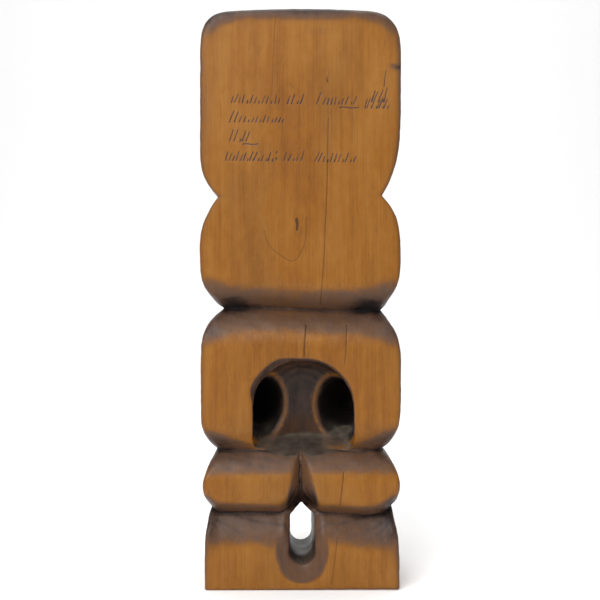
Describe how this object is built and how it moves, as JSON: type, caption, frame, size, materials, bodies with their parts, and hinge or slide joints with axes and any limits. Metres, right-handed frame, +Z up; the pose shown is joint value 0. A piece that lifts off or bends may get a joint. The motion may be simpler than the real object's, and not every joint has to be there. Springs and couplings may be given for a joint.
{
  "type": "tekoteko figure",
  "caption": "Standing wooden tekoteko figure, carved from one block, with its hands on its belly, a plain flat back with an arched hollow in it, and a slot between its legs.",
  "frame": {"origin": "on the underside, below the middle of the block", "axes": "+Z up, +Y out of the flat back, -Y the way the figure faces, +X to the figure's left"},
  "size_m": [0.1246, 0.082, 0.36],
  "materials": {
    "kauri_wood": "satin varnish over dark stain in the recesses"
  },
  "bodies": {
    "root": {"tekoteko_figure": "kauri_wood"}
  },
  "joints": []
}
